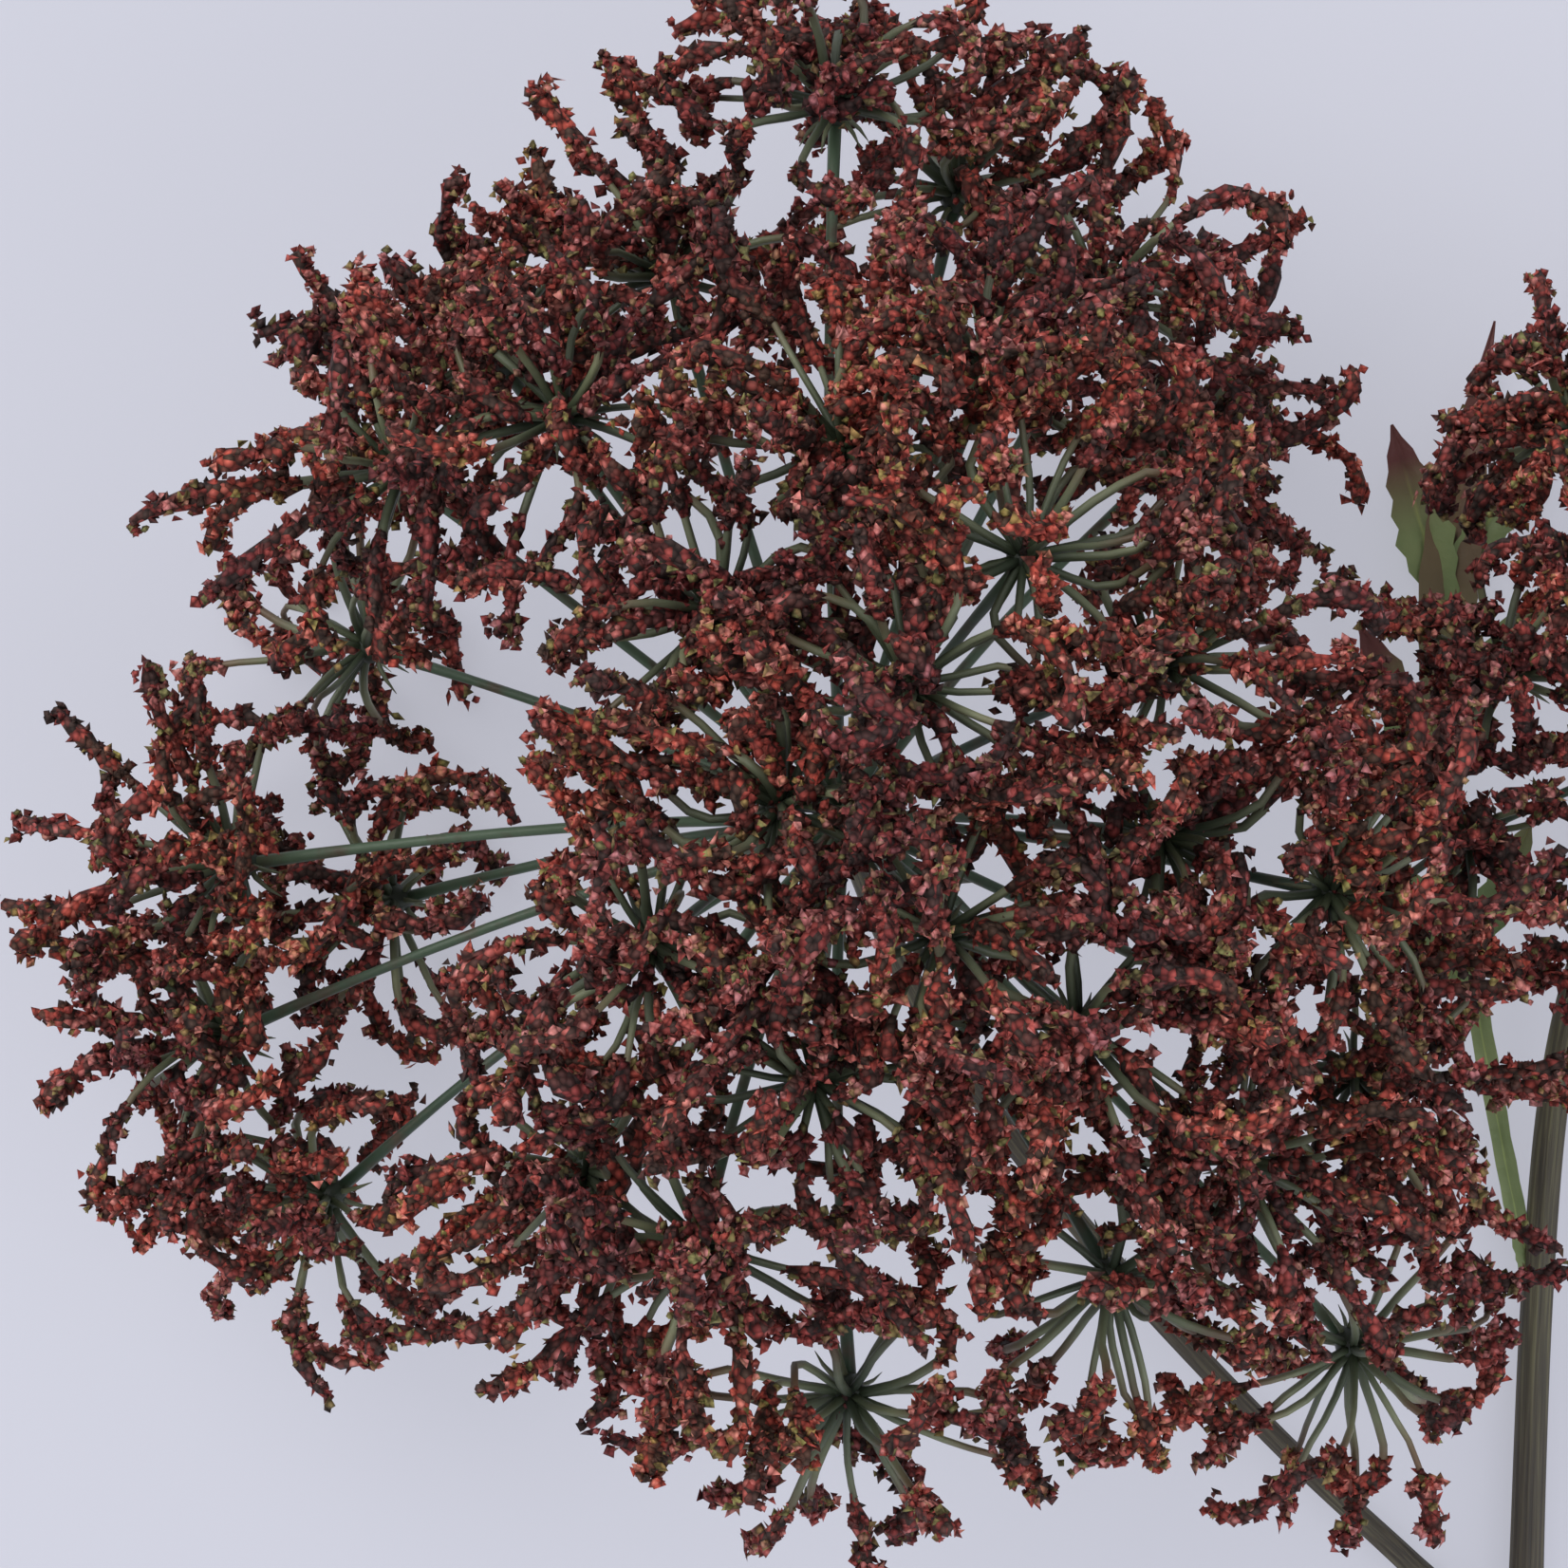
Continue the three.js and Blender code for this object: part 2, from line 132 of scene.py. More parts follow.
def sequence(seed):
    """Repeatable numbers between 0 and 1, the same ones that the solids grew by."""
    state = ((seed + 1) * 2654435761 + 97) & 0xFFFFFFFF
    while True:
        state = (state * 1664525 + 1013904223) & 0xFFFFFFFF
        yield state / 4294967296


def leaning(axis, tilt, turn):
    """The direction at an angle from an axis, turned round that axis."""
    helper = Vector((1, 0, 0)) if abs(axis.x) < 0.8 else Vector((0, 1, 0))
    side = axis.cross(helper).normalized()
    other = axis.cross(side)
    return axis * math.cos(tilt) + (side * math.cos(turn) + other * math.sin(turn)) * math.sin(tilt)


def bezier(a, b, c, count):
    """Points along a quadratic curve."""
    shares = [i / count for i in range(count + 1)]
    return [a * (1 - s) ** 2 + b * 2 * s * (1 - s) + c * s * s for s in shares]


def head_rays(rows, centre, facing):
    """Every ray of a head: its curve, its hub and the way that its umbellet faces."""
    rays = []
    for compass, tilt, length in rows:
        a, t = math.radians(compass), math.radians(tilt)
        towards = Vector((math.sin(t) * math.cos(a), math.sin(t) * math.sin(a), math.cos(t)))
        bend = centre + (towards + facing * 0.3).normalized() * length * 0.45
        hub = centre + towards * length
        axis = (towards + facing * 0.25).normalized()
        end = hub - axis * (HUB_RADIUS + 2 * HALF_GAP)
        rays.append({"hub": hub, "axis": axis, "curve": (centre, bend, end)})
    return rays


def obstacles(rays):
    """The thin solid lengths that no umbellet may touch: stems, rays and leaf lobes."""
    found = []
    for line in (STEM_LINE, BRANCH_LINE):
        for a, b in zip(line, line[1:]):
            found.append((Vector(a[:3]), Vector(b[:3]), max(a[3], b[3])))
    for ray in rays:
        points = bezier(*ray["curve"], 2)
        for a, b in zip(points, points[1:]):
            found.append((a, b, RAY_RADIUS))
    for a, b in zip(LEAF_RIB, LEAF_RIB[1:]):
        found.append((Vector(a), Vector(b), 2.4))
    for a, b, width in LEAF_LOBES:
        found.append((Vector(a), Vector(b), width))
    return found


def nearest_on(thing, point):
    """The point of a length that is nearest to the given one."""
    on_line, share = intersect_point_line(point, thing[0], thing[1])
    if share <= 0:
        return thing[0]
    return thing[1] if share >= 1 else on_line


def umbellets(rays, main_count, things):
    """Each umbellet reaches only just over the plane that is half way to every near one."""
    found = []
    for index, ray in enumerate(rays):
        reach = MAIN_REACH if index < main_count else SECOND_REACH
        hub = ray["hub"]
        walls = []
        for other in rays:
            apart = (other["hub"] - hub).length
            if other is not ray and apart < 2 * MAIN_REACH + 4:
                normal = (other["hub"] - hub) / apart
                walls.append((normal, hub.dot(normal) + apart / 2 + INTERLOCK))
        near = [thing for thing in things if (nearest_on(thing, hub) - hub).length < reach + 6]
        found.append({"index": index, "hub": hub, "axis": ray["axis"], "reach": reach,
                      "walls": walls, "near": near})
    return found


def steer(heading, point, walls):
    """Bends a heading away from the walls it runs towards."""
    for normal, limit in walls:
        room = limit - point.dot(normal)
        towards = heading.dot(normal)
        if room < SOFT_ROOM and towards > 0:
            heading = heading - normal * towards * (1 - max(0.0, room) / SOFT_ROOM)
    return heading.normalized()


def keep_clear(point, radius, umbellet):
    """Moves a point back inside its walls, off the stems and onto the table."""
    for _ in range(3):
        for thing in umbellet["near"]:
            nearest = nearest_on(thing, point)
            apart = (point - nearest).length
            least = thing[2] + radius + 2 * HALF_GAP
            if apart < least:
                point = nearest + (point - nearest) * (least / max(apart, 1e-6))
        for normal, limit in umbellet["walls"]:
            over = point.dot(normal) - limit
            if over > 0:
                point = point - normal * over
        point.z = max(point.z, radius * 0.8)
    return point


def stalk_start(umbellet, place):
    """How a stalk leaves its hub: its heading, the axis it droops round, its curl and its length.

    Places beyond the solids' own ones are short stalks, which stand round a more upright axis."""
    random = sequence(umbellet["index"] * 64 + place)
    short = place >= STALK_PLACES
    share = (place % STALK_PLACES + 0.5) / STALK_PLACES
    tilt = math.acos(1 - share * (1 - math.cos(WIDEST_TILT))) + 0.24 * (next(random) - 0.5)
    turn = place * GOLDEN_ANGLE + umbellet["index"] + 0.5 * (next(random) - 0.5)
    length = umbellet["reach"] * (0.84 + 0.32 * next(random)) * (SHORT_SHARE if short else 1)
    curl = -0.7 + 3 * next(random)
    lean = 2.2 * (next(random) - 0.5)
    axis = (umbellet["axis"] + Vector((0, 0, 0.8))).normalized() if short else umbellet["axis"]
    heading = leaning(axis, tilt, turn)
    droop = axis.cross(heading).normalized()
    droop.rotate(Quaternion(heading, lean))
    return heading, droop, curl, length


def hook_shape(umbellet, heading, rng):
    """The step where a stalk starts to hook over, how far it does and how freely it picks its way.

    Stalks that point up mostly fold over their hub, but not on the open umbellets."""
    upward = heading.z > 0.45 and umbellet["index"] not in OPEN_UMBELLETS
    if upward and rng.uniform() < 0.8:
        return 7, rng.uniform(1.2, 2.8), math.pi
    if rng.uniform() < 0.55:
        return 10, rng.uniform(0.7, 2.4), 1.6
    return 11, rng.uniform(-0.5, 0.5), 1.2


def stalk_path(umbellet, place, rng):
    """The centre line of one flower stalk. It curls as the solids do, and wavers and hooks a little more."""
    heading, droop, curl, length = stalk_start(umbellet, place)
    first, hook, spread = hook_shape(umbellet, heading, rng)
    sideways = Quaternion(heading, rng.uniform(-spread, spread)) @ droop
    point = umbellet["hub"].copy()
    path = [point]
    for step in range(1, STALK_STEPS + 1):
        heading.rotate(Quaternion(droop, curl * (2 * step - 1) / STALK_STEPS ** 2))
        if step > first:
            heading.rotate(Quaternion(sideways, hook / (STALK_STEPS - first)))
        waver = Vector(rng.normal(size=3)).normalized()
        heading.rotate(Quaternion(waver, rng.uniform(0, 0.1 + 0.008 * step)))
        heading = steer(heading, point, umbellet["walls"])
        radius = STALK_RADIUS if step < CLUB_STEP else CLUB_RADIUS
        point = keep_clear(point + heading * (length / STALK_STEPS), radius, umbellet)
        path.append(point.copy())
    return path


def unit(values):
    """Vectors scaled to length one."""
    return values / np.maximum(np.linalg.norm(values, axis=-1, keepdims=True), 1e-9)


class Growth:
    """The vertices, faces and values of one piece as it is put together.

    The materials read two values of each vertex: tint, which varies the colour, and along, which is its
    place along a stalk, across a leaf or on a crust."""

    def __init__(self):
        self.points, self.faces, self.slots, self.smooth = [], [], [], []
        self.tint, self.along = [], []
        self.count = 0

    def add(self, points, faces, slot, smooth, tint, along):
        """Adds faces that count from their own first point."""
        points = np.asarray(points, float).reshape(-1, 3)
        faces = np.asarray(faces, int)
        self.points.append(points)
        self.faces.extend((faces + self.count).tolist())
        self.slots.extend([slot] * len(faces))
        self.smooth.extend([smooth] * len(faces))
        self.tint.append(np.broadcast_to(tint, len(points)))
        self.along.append(np.broadcast_to(along, len(points)))
        self.count += len(points)

    def piece(self, name, materials, node):
        """Makes the piece, which stands for a node of the frame."""
        points = (np.concatenate(self.points) - np.array(MIDDLE)) / 1000
        points[:, 2] = np.maximum(points[:, 2], 0.00002)
        mesh = bpy.data.meshes.new(name)
        mesh.from_pydata(points.tolist(), [], self.faces)
        mesh.polygons.foreach_set("material_index", self.slots)
        mesh.polygons.foreach_set("use_smooth", self.smooth)
        for label, values in (("tint", self.tint), ("along", self.along)):
            layer = mesh.attributes.new(label, "FLOAT", "POINT")
            layer.data.foreach_set("value", np.concatenate(values).astype(np.float32))
        for material in materials:
            mesh.materials.append(material)
        mesh.update()
        thing = bpy.data.objects.new(name, mesh)
        bpy.context.scene.collection.objects.link(thing)
        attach(thing, "root")
        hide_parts(node)
        return thing


def tube_rings(lines, radii, sides, squash=1.0):
    """Rings round many lines at once. lines is (number, rings, 3) and radii is (number, rings)."""
    tangents = unit(np.gradient(lines, axis=1))
    first = tangents[:, 0]
    helper = np.where(np.abs(first[:, 2:3]) < 0.9, [[0.0, 0.0, 1.0]], [[1.0, 0.0, 0.0]])
    side = unit(np.cross(first, helper))
    angles = 2 * np.pi * np.arange(sides) / sides
    rings = []
    for i in range(lines.shape[1]):
        along = tangents[:, i]
        side = unit(side - along * np.sum(side * along, axis=1, keepdims=True))
        up = np.cross(along, side)
        spread = side[:, None] * np.cos(angles)[:, None] + up[:, None] * (squash * np.sin(angles))[:, None]
        rings.append(lines[:, i, None] + spread * radii[:, i, None, None])
    return np.stack(rings, axis=1)


def add_tubes(growth, lines, radii, sides, slot, tint, along, squash=1.0):
    """Closed smooth tubes. tint is one value for each tube, along one for each ring."""
    number, count = lines.shape[:2]
    rings = tube_rings(lines, radii, sides, squash)
    per = count * sides + 2
    points = np.concatenate([rings.reshape(number, -1, 3), lines[:, :1], lines[:, -1:]], axis=1)
    quads, caps = [], []
    for ring in range(count - 1):
        for i in range(sides):
            j = (i + 1) % sides
            low, high = ring * sides, (ring + 1) * sides
            quads.append((low + i, low + j, high + j, high + i))
    for i in range(sides):
        j = (i + 1) % sides
        caps.append((per - 2, j, i))
        caps.append((per - 1, per - 2 - sides + i, per - 2 - sides + j))
    starts = per * np.arange(number)[:, None, None]
    tints = np.repeat(np.broadcast_to(tint, number), per)
    ring_along = np.broadcast_to(along, (number, count))
    round_along = np.repeat(ring_along, sides, axis=1)
    alongs = np.concatenate([round_along, ring_along[:, :1], ring_along[:, -1:]], axis=1)
    base = growth.count
    growth.add(points, (np.array(quads) + starts).reshape(-1, 4), slot, True, tints, alongs.ravel())
    cap_faces = (np.array(caps) + starts).reshape(-1, 3) + base
    growth.faces.extend(cap_faces.tolist())
    growth.slots.extend([slot] * len(cap_faces))
    growth.smooth.extend([True] * len(cap_faces))


# The two shapes of the crust's bits, as corners and faces.
GRAIN = (np.array([[1, 0, 0], [-1, 0, 0], [0, 1, 0], [0, -1, 0], [0, 0, 1], [0, 0, -1]], float),
         np.array([[0, 2, 4], [2, 1, 4], [1, 3, 4], [3, 0, 4], [2, 0, 5], [1, 2, 5], [3, 1, 5], [0, 3, 5]]))
FLAKE = (np.array([[1, 0, -0.4], [-0.8, 0.8, -0.3], [-0.8, -0.8, -0.3], [0, 0, 0.9]], float),
         np.array([[0, 1, 3], [1, 2, 3], [2, 0, 3], [0, 2, 1]]))


def add_bits(growth, form, centres, axes, sizes, slot, tints, along, rng):
    """Small uneven grains or flakes. axes is the way each one points, sizes its three half lengths."""
    corners, faces = form
    count, per = len(centres), len(corners)
    first = unit(axes)
    second = unit(np.cross(first, rng.normal(size=(count, 3))))
    third = np.cross(first, second)
    uneven = 1 + rng.uniform(-0.25, 0.25, (count, per, 1))
    shape = (corners[None] * uneven + rng.uniform(-0.14, 0.14, (count, per, 3))) * sizes[:, None, :]
    points = (centres[:, None] + shape[..., 0:1] * first[:, None] + shape[..., 1:2] * second[:, None]
              + shape[..., 2:3] * third[:, None])
    all_faces = (faces[None] + per * np.arange(count)[:, None, None]).reshape(-1, 3)
    growth.add(points, all_faces, slot, form is GRAIN, np.repeat(tints, per), np.repeat(along, per))


def add_crust(growth, paths, earliest, rng):
    """Covers the outer part of each stalk with the tiny dried flowers, over a lumpy core."""
    number = len(paths)
    crowd = np.where(np.arange(number) < STALK_PLACES, 1.0, SHORT_SHARE)
    crust = {
        "paths": paths,
        "crowd": crowd,
        "start": rng.uniform(earliest, earliest + 0.22, number) * crowd,
        "heavy": rng.uniform(0.78, 1.18, number),
        "shade": rng.uniform(0.14, 0.6, number),
        "beads": rng.uniform([11, 0, 0.14], [19, 6.3, 0.36], (number, 3)),
    }
    add_core(growth, crust, rng)
    crust["tuft_at"] = rng.uniform(0.08, 0.96, (number, TUFTS))
    crust["tuft_way"] = unit(rng.normal(size=(number, TUFTS, 3)))
    cover(growth, crust, GRAIN, GRAINS, (0.6, 1.05), rng)
    cover(growth, crust, FLAKE, FLAKES, (0.65, 1.15), rng)


def cover(growth, crust, form, per_stalk, depth, rng):
    """Sets bits of one form all over the crusts, at a depth between two shares of their thickness."""
    which = np.repeat(np.arange(len(crust["paths"])), (per_stalk * crust["crowd"]).astype(int))
    count = len(which)
    tuft = rng.integers(0, TUFTS, count)
    tufted = rng.uniform(0, 1, count) < TUFT_SHARE
    near_tuft = np.clip(crust["tuft_at"][which, tuft] + rng.normal(0, 0.025, count), 0, 1)
    share = np.where(tufted, near_tuft, rng.uniform(0, 1, count) ** 0.9)
    start = crust["start"][which]
    centre, ahead = places_on(crust["paths"], which, start + (1 - start) * share)
    out = rng.normal(size=(count, 3))
    out = np.where(tufted[:, None], crust["tuft_way"][which, tuft] + 0.28 * out, out)
    out = unit(out - ahead * np.sum(out * ahead, axis=1, keepdims=True))
    far = rng.uniform(*depth, count) + tufted * rng.uniform(0, 0.8, count)
    body = thickness(share, crust["beads"][which]) * crust["heavy"][which]
    centre = centre + out * (body * far)[:, None]
    axes = out * 0.35 + ahead * rng.uniform(-0.8, 1.1, (count, 1)) + rng.normal(0, 0.6, (count, 3))
    # Painted shade: bits that sit deep in the crust get a darker tint, and those that stand far out a lighter
    # one.
    tints, sizes = crust_looks(crust["shade"][which] + 0.3 * (far - 0.8), rng)
    add_bits(growth, form, centre, axes, sizes, 1, tints, share, rng)


def places_on(paths, which, share):
    """Points on the given stalks at shares of their length, and the way that the stalks run there."""
    place = np.minimum(share * STALK_STEPS, STALK_STEPS - 1e-6)
    low = place.astype(int)
    part = (place - low)[:, None]
    ahead = unit(paths[which, low + 1] - paths[which, low])
    return paths[which, low] * (1 - part) + paths[which, low + 1] * part, ahead


def thickness(share, beads):
    """How thick a crust is along its length: it swells and narrows like uneven beads.

    The last axis of beads holds their spacing, their place and their depth."""
    swelling = beads[..., 2] * np.sin(share * beads[..., 0] + beads[..., 1])
    return np.clip(share * 6, 0.4, 1) * (0.86 + swelling)


def add_core(growth, crust, rng):
    """The lumpy inside of each crust, which its grains stand on, tinted dark as painted shade between them.
    """
    number = len(crust["paths"])
    shares = np.linspace(0, 1, CORE_RINGS)
    which = np.repeat(np.arange(number), CORE_RINGS)
    start = crust["start"][:, None]
    place = (start + (0.99 - start) * shares).ravel()
    line = places_on(crust["paths"], which, place)[0].reshape(number, CORE_RINGS, 3)
    body = thickness(shares[None], crust["beads"][:, None]) * crust["heavy"][:, None]
    radii = 0.84 * body * rng.uniform(0.82, 1.15, (number, CORE_RINGS))
    radii[:, -1] *= 0.5
    # The core's dark tint is painted shade for the gaps between the grains.
    add_tubes(growth, line, radii, 5, 1, rng.uniform(0.12, 0.36, number), CORE_MARK)


def crust_looks(shades, rng):
    """The tint and half lengths of each bit: near its shade as given, which is its stalk's shade with a
    painted shade by depth, some olive, and some thin prongs.
    """
    count = len(shades)
    sizes = rng.uniform(0.8, 1.3, (count, 1)) * rng.uniform([0.38, 0.34, 0.28], [0.6, 0.54, 0.46], (count, 3))
    prong = rng.uniform(0, 1, count) < PRONG_SHARE
    sizes = np.where(prong[:, None], [0.8, 0.2, 0.16], sizes)
    olive = rng.uniform(0, 1, count) < OLIVE_SHARE
    olive_tints = rng.uniform(0.85, 1.0, count)
    red_tints = np.clip(shades + rng.normal(0, 0.22, count), 0.0, 0.8)
    return np.where(olive, olive_tints, red_tints), sizes


def add_hub(growth, umbellet, rng):
    """The knob that the stalks grow from, the dark flower on it and the small bracts behind it."""
    hub, axis = np.array(umbellet["hub"]), np.array(umbellet["axis"])
    knob = hub + axis * np.array([-1.9, -1.3, -0.5, 0.4, 1.0])[:, None]
    add_tubes(growth, knob[None], np.array([[0.5, 0.85, 1.35, 1.25, 0.5]]), 8, 0, 0.15, 0.0)
    spots = hub + axis * 1.1 + rng.normal(0, 0.42, (16, 3))
    sizes = rng.uniform(0.2, 0.45, (16, 3))
    add_bits(growth, GRAIN, spots, axis + rng.normal(0, 0.6, (16, 3)), sizes, 1, rng.uniform(0.0, 0.45, 16),
             np.full(16, 0.5), rng)
    lines = []
    for i in range(5):
        tilt = 1.85 + 0.3 * rng.uniform()
        way = np.array(leaning(umbellet["axis"], tilt, i * 1.257 + rng.uniform(0, 0.5)))
        root = hub - axis * 0.8
        lines.append([root, root + way * 1.4, root + way * 2.4 - axis * 0.5, root + way * 3.2 - axis * 1.3])
    radii = np.broadcast_to([0.26, 0.24, 0.17, 0.03], (5, 4))
    add_tubes(growth, np.array(lines), radii, 4, 0, rng.uniform(0.4, 0.9, 5), 0.3, squash=0.6)


def grow_umbellet(umbellet, materials):
    """One umbellet: its hub, its thin green stalks and the crust on their outer parts."""
    rng = np.random.default_rng(500 + umbellet["index"])
    open_one = umbellet["index"] in OPEN_UMBELLETS
    stalks = STALK_PLACES + (0 if open_one else SHORT_STALKS)
    paths = np.array([[tuple(p) for p in stalk_path(umbellet, place, rng)] for place in range(stalks)])
    growth = Growth()
    lines = paths[:, :16:2]
    shares = np.linspace(0, 0.7, lines.shape[1])
    slim = np.interp(shares, [0, 0.12, 0.5, 1], [0.44, 0.36, 0.32, 0.3])
    radii = slim * rng.uniform(0.85, 1.2, (stalks, 1))
    add_tubes(growth, lines, radii, STALK_SIDES, 0, rng.uniform(0, 1, stalks), shares)
    add_hub(growth, umbellet, rng)
    add_crust(growth, paths, OPEN_CRUST_START if open_one else CRUST_START, rng)
    node = f"umbellet_{umbellet['index'] + 1:02d}"
    growth.piece(f"{node}_fine", materials, node)


def smooth_line(rows, per):
    """A smooth line through rows of x, y, z and radius."""
    rows = np.array(rows, float)
    ends = np.concatenate([rows[:1] * 2 - rows[1:2], rows, rows[-1:] * 2 - rows[-2:-1]])
    points = []
    for i in range(1, len(ends) - 2):
        a, b, c, d = ends[i - 1:i + 3]
        for k in range(per):
            s = k / per
            points.append(0.5 * (2 * b + (c - a) * s + (2 * a - 5 * b + 4 * c - d) * s * s
                                 + (3 * b - a - 3 * c + d) * s ** 3))
    points.append(rows[-1])
    return np.array(points)


def grow_stem(materials):
    """The cut main stem and its side branch, with fine ribs and a pale pith at the cut."""
    growth = Growth()
    for rows, sides, per in ((STEM_LINE, 24, 14), (BRANCH_LINE, 18, 12)):
        line = smooth_line(rows, per)
        ribs = 1 + 0.035 * np.cos(np.pi * np.arange(sides))
        rings = tube_rings(line[None, :, :3], line[None, :, 3] * 0.97, sides)[0]
        centre = line[:, None, :3]
        add_ring_skin(growth, centre + (rings - centre) * ribs[None, :, None], 0)
    add_cut_end(growth)
    growth.piece("stem_fine", materials, "stem")


def add_ring_skin(growth, rings, slot):
    """A closed skin over one row of rings."""
    count, sides = rings.shape[:2]
    faces = []
    for ring in range(count - 1):
        for i in range(sides):
            j = (i + 1) % sides
            faces.append((ring * sides + i, ring * sides + j, (ring + 1) * sides + j, (ring + 1) * sides + i))
    turn = np.tile(np.linspace(0, 1, sides, endpoint=False), count)
    along = np.repeat(np.linspace(0, 1, count), sides)
    growth.add(rings, faces, slot, True, turn, along)


def add_cut_end(growth):
    """The sawn face of the stem: a rough rim round a paler, sunken pith."""
    sides = 24
    angles = 2 * np.pi * np.arange(sides) / sides
    x, y, z, radius = STEM_LINE[0]
    rings = []
    for share, depth in ((0.97, 0.0), (0.9, -0.15), (0.62, -0.05), (0.55, 0.25), (0.05, 0.3)):
        ring = np.stack([x + radius * share * np.cos(angles), np.full(sides, y + depth),
                         z + radius * share * np.sin(angles)], axis=1)
        rings.append(ring)
    first = growth.count
    add_ring_skin(growth, np.array(rings)[:3], 0)
    add_ring_skin(growth, np.array(rings)[2:], 1)
    growth.faces.append([first + 5 * sides + i for i in range(sides)])
    growth.slots.append(1)
    growth.smooth.append(True)


def grow_rays(name, rays, line, centre, facing, bracts, length, materials):
    """A head's knot, its rays and the forked bracts that hang back under it."""
    rng = np.random.default_rng(40 + bracts)
    growth = Growth()
    lines = []
    for ray in rays:
        points = bezier(ray["curve"][0], ray["curve"][1], ray["hub"] - ray["axis"] * 1.2, 10)
        lines.append([tuple(p) for p in points])
    slim = np.interp(np.linspace(0, 1, 11), [0, 0.15, 0.8, 1], [0.55, 0.44, 0.4, 0.55])
    radii = slim * rng.uniform(0.92, 1.08, (len(rays), 1))
    add_tubes(growth, np.array(lines), radii, 8, 0, rng.uniform(0, 1, len(rays)), np.linspace(0, 1, 11))
    end, before = Vector(line[-1][:3]), Vector(line[-2][:3])
    foot = end - (end - before).normalized() * 0.6
    knot = [foot, foot.lerp(centre, 0.35), foot.lerp(centre, 0.7), centre, centre + facing * 1.2,
            centre + facing * 1.9]
    add_tubes(growth, np.array([[tuple(p) for p in knot]]), np.array([[1.25, 1.6, 2.3, 2.6, 2.1, 0.6]]), 16,
              0, 0.3, 0.0)
    add_bracts(growth, centre, facing, bracts, length, rng)
    growth.piece(f"{name}_fine", materials, name)


def add_bracts(growth, centre, facing, count, length, rng):
    """Bracts split into thin lobes."""
    lines, radii = [], []
    for i in range(count):
        turn = 2 * math.pi * i / count + 0.3
        out, back = leaning(facing, 1.9, turn), leaning(facing, 2.35, turn)
        fork = centre + out * length * 0.45
        lines.append([centre, centre + out * length * 0.2, centre + out * length * 0.35, fork])
        radii.append([1.0, 0.8, 0.7, 0.7])
        for spread in (-0.45, 0.0, 0.45):
            way = back.copy()
            way.rotate(Quaternion(facing, spread * 1.3))
            reach = length * (0.55 if spread == 0 else 0.4) * (0.9 + 0.1 * rng.uniform())
            tip = fork + way * reach
            root = fork - out * 0.6
            lines.append([root, fork.lerp(tip, 0.25) + out * 0.25, fork.lerp(tip, 0.6) + out * 0.4, tip])
            radii.append([0.6, 0.62, 0.45, 0.05])
    lines = np.array([[tuple(p) for p in line] for line in lines])
    add_tubes(growth, lines, np.array(radii), 6, 0, rng.uniform(0, 1, len(lines)), 0.5, squash=0.45)


def blade(growth, line, widths, tip_tint, notch, rng):
    """A thin arched blade along a line, with a toothed edge and a sunken rib."""
    count, across = len(line), 9
    ahead = unit(np.gradient(line, axis=0))
    side = unit(np.cross(ahead, [0.0, 0.0, 1.0]))
    place = np.linspace(-1, 1, across)
    edge = 1 + notch * np.cos(np.arange(count) * math.pi)
    sheets = []
    for face in (1, -1):
        groove = 0.5 * np.exp(-(place / 0.16) ** 2) * (face > 0)
        height = 0.55 * (1 - place ** 2) * face - groove + 0.9 * place ** 2
        reach = np.clip(widths * edge, 0.02, None)
        sheet = line[:, None] + side[:, None] * (place[None, :, None] * reach[:, None, None])
        shrink = np.clip(widths / max(widths), 0.15, 1)
        sheet = sheet + np.array([0, 0, 1.0]) * (height[None, :] * shrink[:, None] - 0.35)[..., None]
        sheets.append(sheet + rng.normal(0, 0.03, sheet.shape))
    sheets[1][:, 0], sheets[1][:, -1] = sheets[0][:, 0], sheets[0][:, -1]
    for sheet, flip in zip(sheets, (False, True)):
        faces = []
        for i in range(count - 1):
            for j in range(across - 1):
                quad = (i * across + j, i * across + j + 1, (i + 1) * across + j + 1, (i + 1) * across + j)
                faces.append(quad if flip else quad[::-1])
        tints = np.repeat(np.linspace(0, 1, count) ** 1.5 * tip_tint, across)
        growth.add(sheet, faces, 0, True, tints, np.tile(np.abs(place), count))


def grow_leaf(materials):
    """The divided leaf: a ribbed stalk that grows out of the stem and widens into the end lobe, and its
    side lobes."""
    rng = np.random.default_rng(77)
    growth = Growth()
    rows = LEAF_FOOT + [point + (width,) for point, width in zip(LEAF_RIB, LEAF_RIB_WIDTHS)]
    line = smooth_line(rows, 9)
    blade(growth, line[:, :3], np.clip(line[:, 3], 0.1, None), 0.8, 0.04, rng)
    for number, (start, end, width) in enumerate(LEAF_LOBES):
        shares = np.linspace(0, 1, 15)
        lobe = np.array(start) + (np.array(end) - np.array(start)) * shares[:, None]
        shape = np.interp(shares, [0, 0.15, 0.4, 0.75, 1], [0.45, 0.6, 1, 0.72, 0.04])
        blade(growth, lobe, width * shape, 1.0 if number in (2, 4) else 0.55, 0.1, rng)
    growth.piece("leaf_fine", materials, "leaf")


def new_material(name, roughness):
    """A material, its node tree and its shader."""
    material = bpy.data.materials.new(name)
    material.use_nodes = True
    shader = material.node_tree.nodes["Principled BSDF"]
    shader.inputs["Roughness"].default_value = roughness
    return material, material.node_tree, shader


def attribute(tree, name):
    """A node that reads one of the pieces' own values."""
    node = tree.nodes.new("ShaderNodeAttribute")
    node.attribute_name = name
    return node.outputs["Fac"]


def noise(tree, scale, detail=4.0):
    """Noise in the frame's own coordinates. The scale is in cycles a metre."""
    where = tree.nodes.new("ShaderNodeTexCoord")
    node = tree.nodes.new("ShaderNodeTexNoise")
    node.inputs["Scale"].default_value = scale
    node.inputs["Detail"].default_value = detail
    tree.links.new(where.outputs["Object"], node.inputs["Vector"])
    return node.outputs["Fac"]


